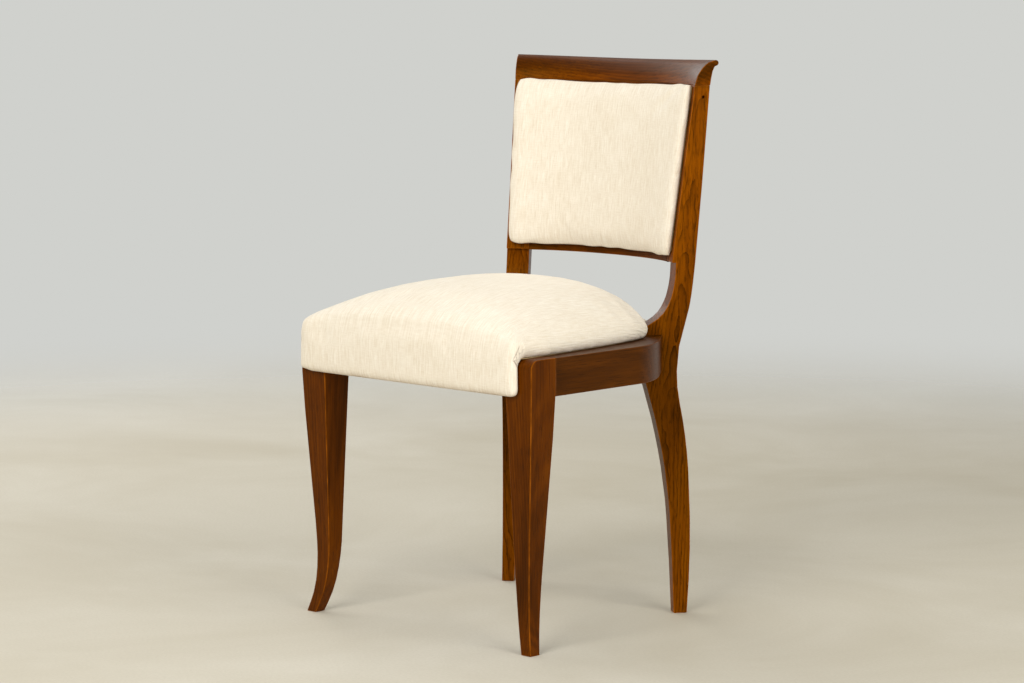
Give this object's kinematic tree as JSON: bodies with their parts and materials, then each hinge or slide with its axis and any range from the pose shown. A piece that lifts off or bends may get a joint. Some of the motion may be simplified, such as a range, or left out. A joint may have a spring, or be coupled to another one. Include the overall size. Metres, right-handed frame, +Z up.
{
  "type": "klismos dining chair",
  "caption": "Wooden dining chair with sabre front legs, rear legs that run up as back posts, a hollow rolled crest rail, and a domed cream seat and padded back.",
  "frame": {"origin": "centre of the chair's box in plan, at the floor under the feet", "axes": "+X to the sitter's left, +Y to the rear of the chair, +Z up"},
  "size_m": [0.492, 0.5228, 0.8608],
  "materials": {
    "frame_wood": "satin polished reddish brown wood",
    "bare_wood": "unpolished pale wood",
    "cream_cloth": "slubby cream weave with fine ribs",
    "stuffing": "matted fibre",
    "jute": "coarse plain weave",
    "dust_cloth": "thin dark cotton",
    "screw_steel": "plain",
    "spring_steel": "drawn wire"
  },
  "bodies": {
    "root": {"back_cover": "cream_cloth", "back_lining": "jute", "back_pad": "stuffing", "corner_block_front_left": "bare_wood", "corner_block_front_right": "bare_wood", "corner_block_rear_left": "bare_wood", "corner_block_rear_right": "bare_wood", "crest_dowel_1_left": "bare_wood", "crest_dowel_1_right": "bare_wood", "crest_dowel_2_left": "bare_wood", "crest_dowel_2_right": "bare_wood", "crest_rail": "frame_wood", "dust_cover": "dust_cloth", "front_block_screw_1_left": "screw_steel", "front_block_screw_1_right": "screw_steel", "front_block_screw_2_left": "screw_steel", "front_block_screw_2_right": "screw_steel", "front_leg_left": "frame_wood", "front_leg_right": "frame_wood", "front_rail": "bare_wood", "lower_back_rail": "frame_wood", "outside_back_board": "bare_wood", "outside_back_cover": "cream_cloth", "rear_block_screw_1_left": "screw_steel", "rear_block_screw_1_right": "screw_steel", "rear_block_screw_2_left": "screw_steel", "rear_block_screw_2_right": "screw_steel", "rear_leg_left": "frame_wood", "rear_leg_right": "frame_wood", "rear_rail": "frame_wood", "seat_cover": "cream_cloth", "seat_hessian": "jute", "seat_joint_dowel_1_left": "bare_wood", "seat_joint_dowel_1_right": "bare_wood", "seat_joint_dowel_2_left": "bare_wood", "seat_joint_dowel_2_right": "bare_wood", "seat_pad": "stuffing", "seat_spring_1": "spring_steel", "seat_spring_2": "spring_steel", "seat_spring_3": "spring_steel", "seat_spring_4": "spring_steel", "seat_spring_5": "spring_steel", "seat_webbing": "jute", "side_rail_left": "frame_wood", "side_rail_right": "frame_wood", "top_back_rail": "bare_wood"}
  },
  "joints": []
}
